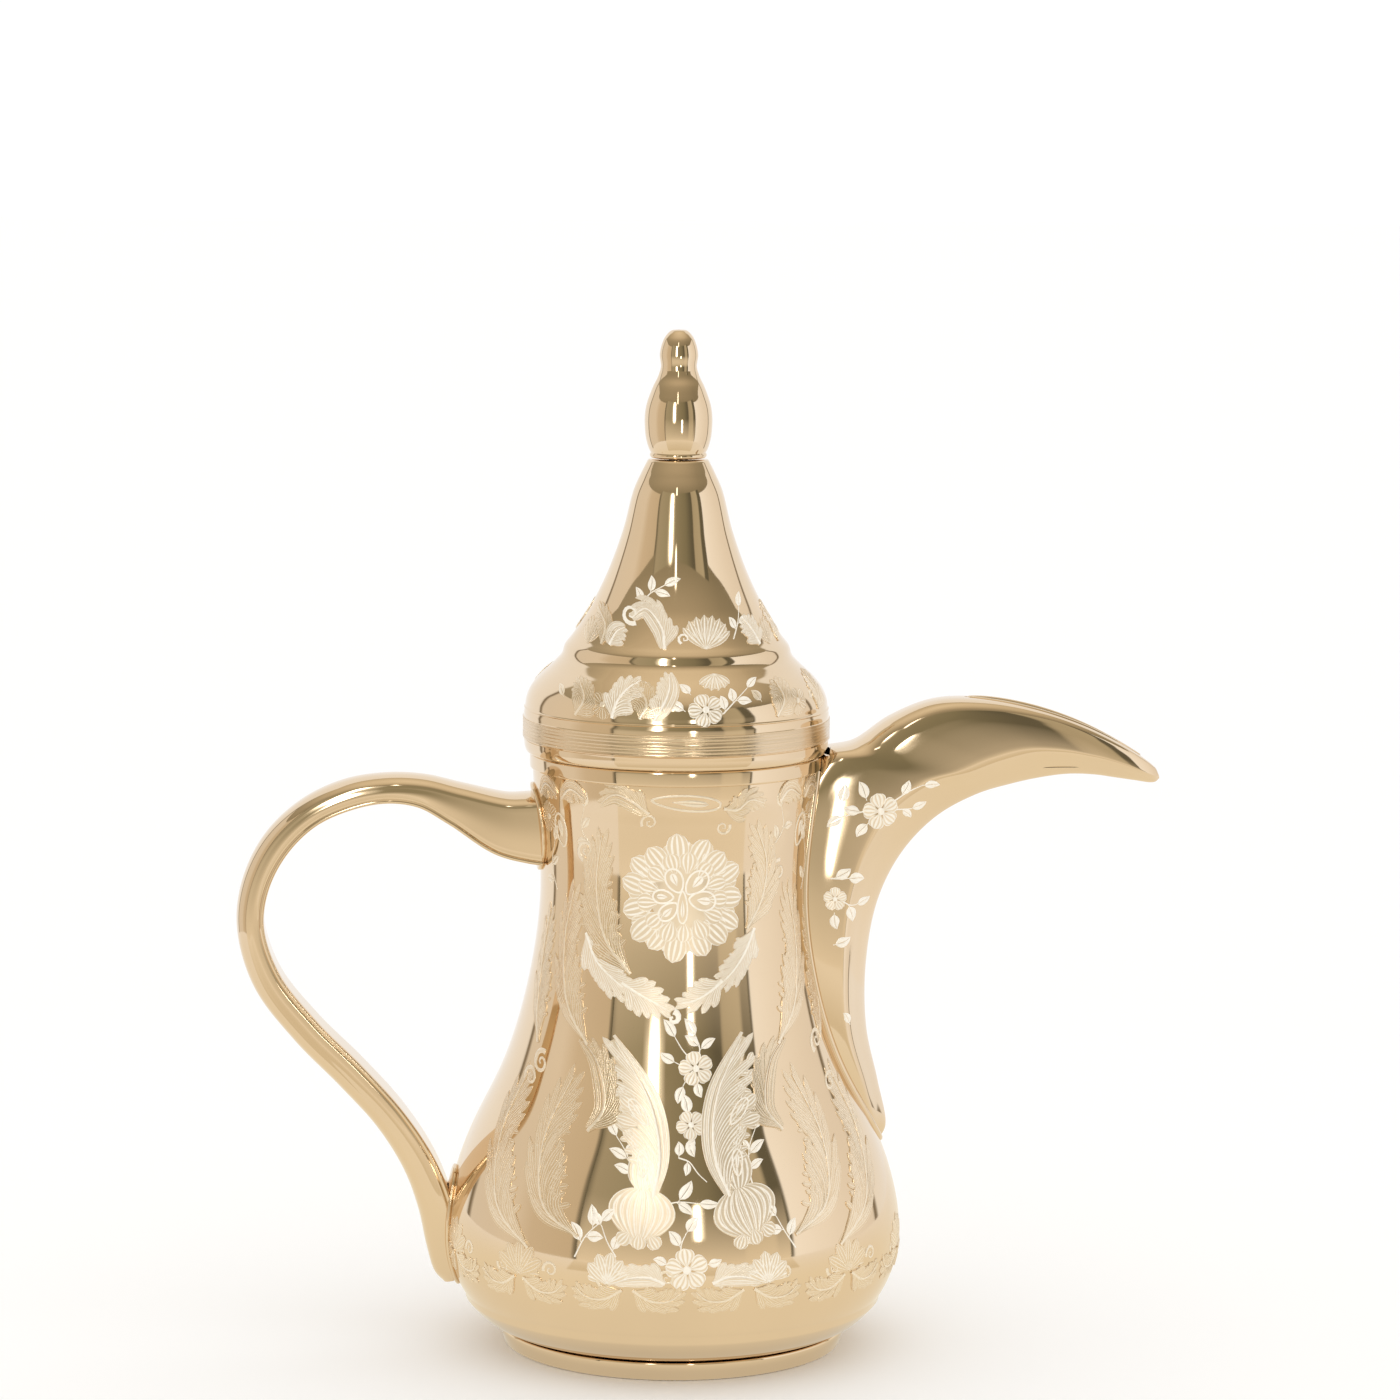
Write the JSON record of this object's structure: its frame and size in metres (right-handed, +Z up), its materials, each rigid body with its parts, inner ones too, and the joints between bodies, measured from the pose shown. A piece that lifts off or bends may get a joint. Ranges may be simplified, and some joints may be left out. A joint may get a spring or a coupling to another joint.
{
  "type": "coffee pot",
  "caption": "Tall waisted metal coffee pot with an engraved belly, a long curved beak spout, a hollow loop handle and a tall pointed lift-off lid with a turned knob.",
  "frame": {"origin": "centre of the flat base's underside, on the pot's axis of revolution", "axes": "+Z up along the pot's axis to the knob, +X towards the spout, -X towards the handle; the XZ plane is the mirror plane"},
  "size_m": [0.2597, 0.1296, 0.2866],
  "materials": {
    "engraved_metal": "satin ornament on a mirror ground, rose-gold plate",
    "polished_metal": "mirror polish, rose-gold plate",
    "inner_metal": "plain brushed inside"
  },
  "bodies": {
    "pot": {"body_shell": "engraved_metal", "base_disc": "inner_metal", "foot_ring": "polished_metal", "neck_ring": "polished_metal", "spout_left_half": "engraved_metal", "spout_right_half": "engraved_metal", "handle_left_half": "polished_metal", "handle_right_half": "polished_metal", "handle_top_pad": "polished_metal", "handle_bottom_pad": "polished_metal"},
    "lid": {"lid_dome": "engraved_metal", "lid_spire": "engraved_metal", "lid_collar": "inner_metal", "finial_knob": "polished_metal", "finial_stud": "inner_metal", "finial_washer": "inner_metal", "finial_nut": "inner_metal"}
  },
  "joints": [
    {"name": "lid_lift", "type": "slide", "parent": "pot", "child": "lid", "axis": [0, 0, 1], "range_m": [0, 0.09]}
  ]
}
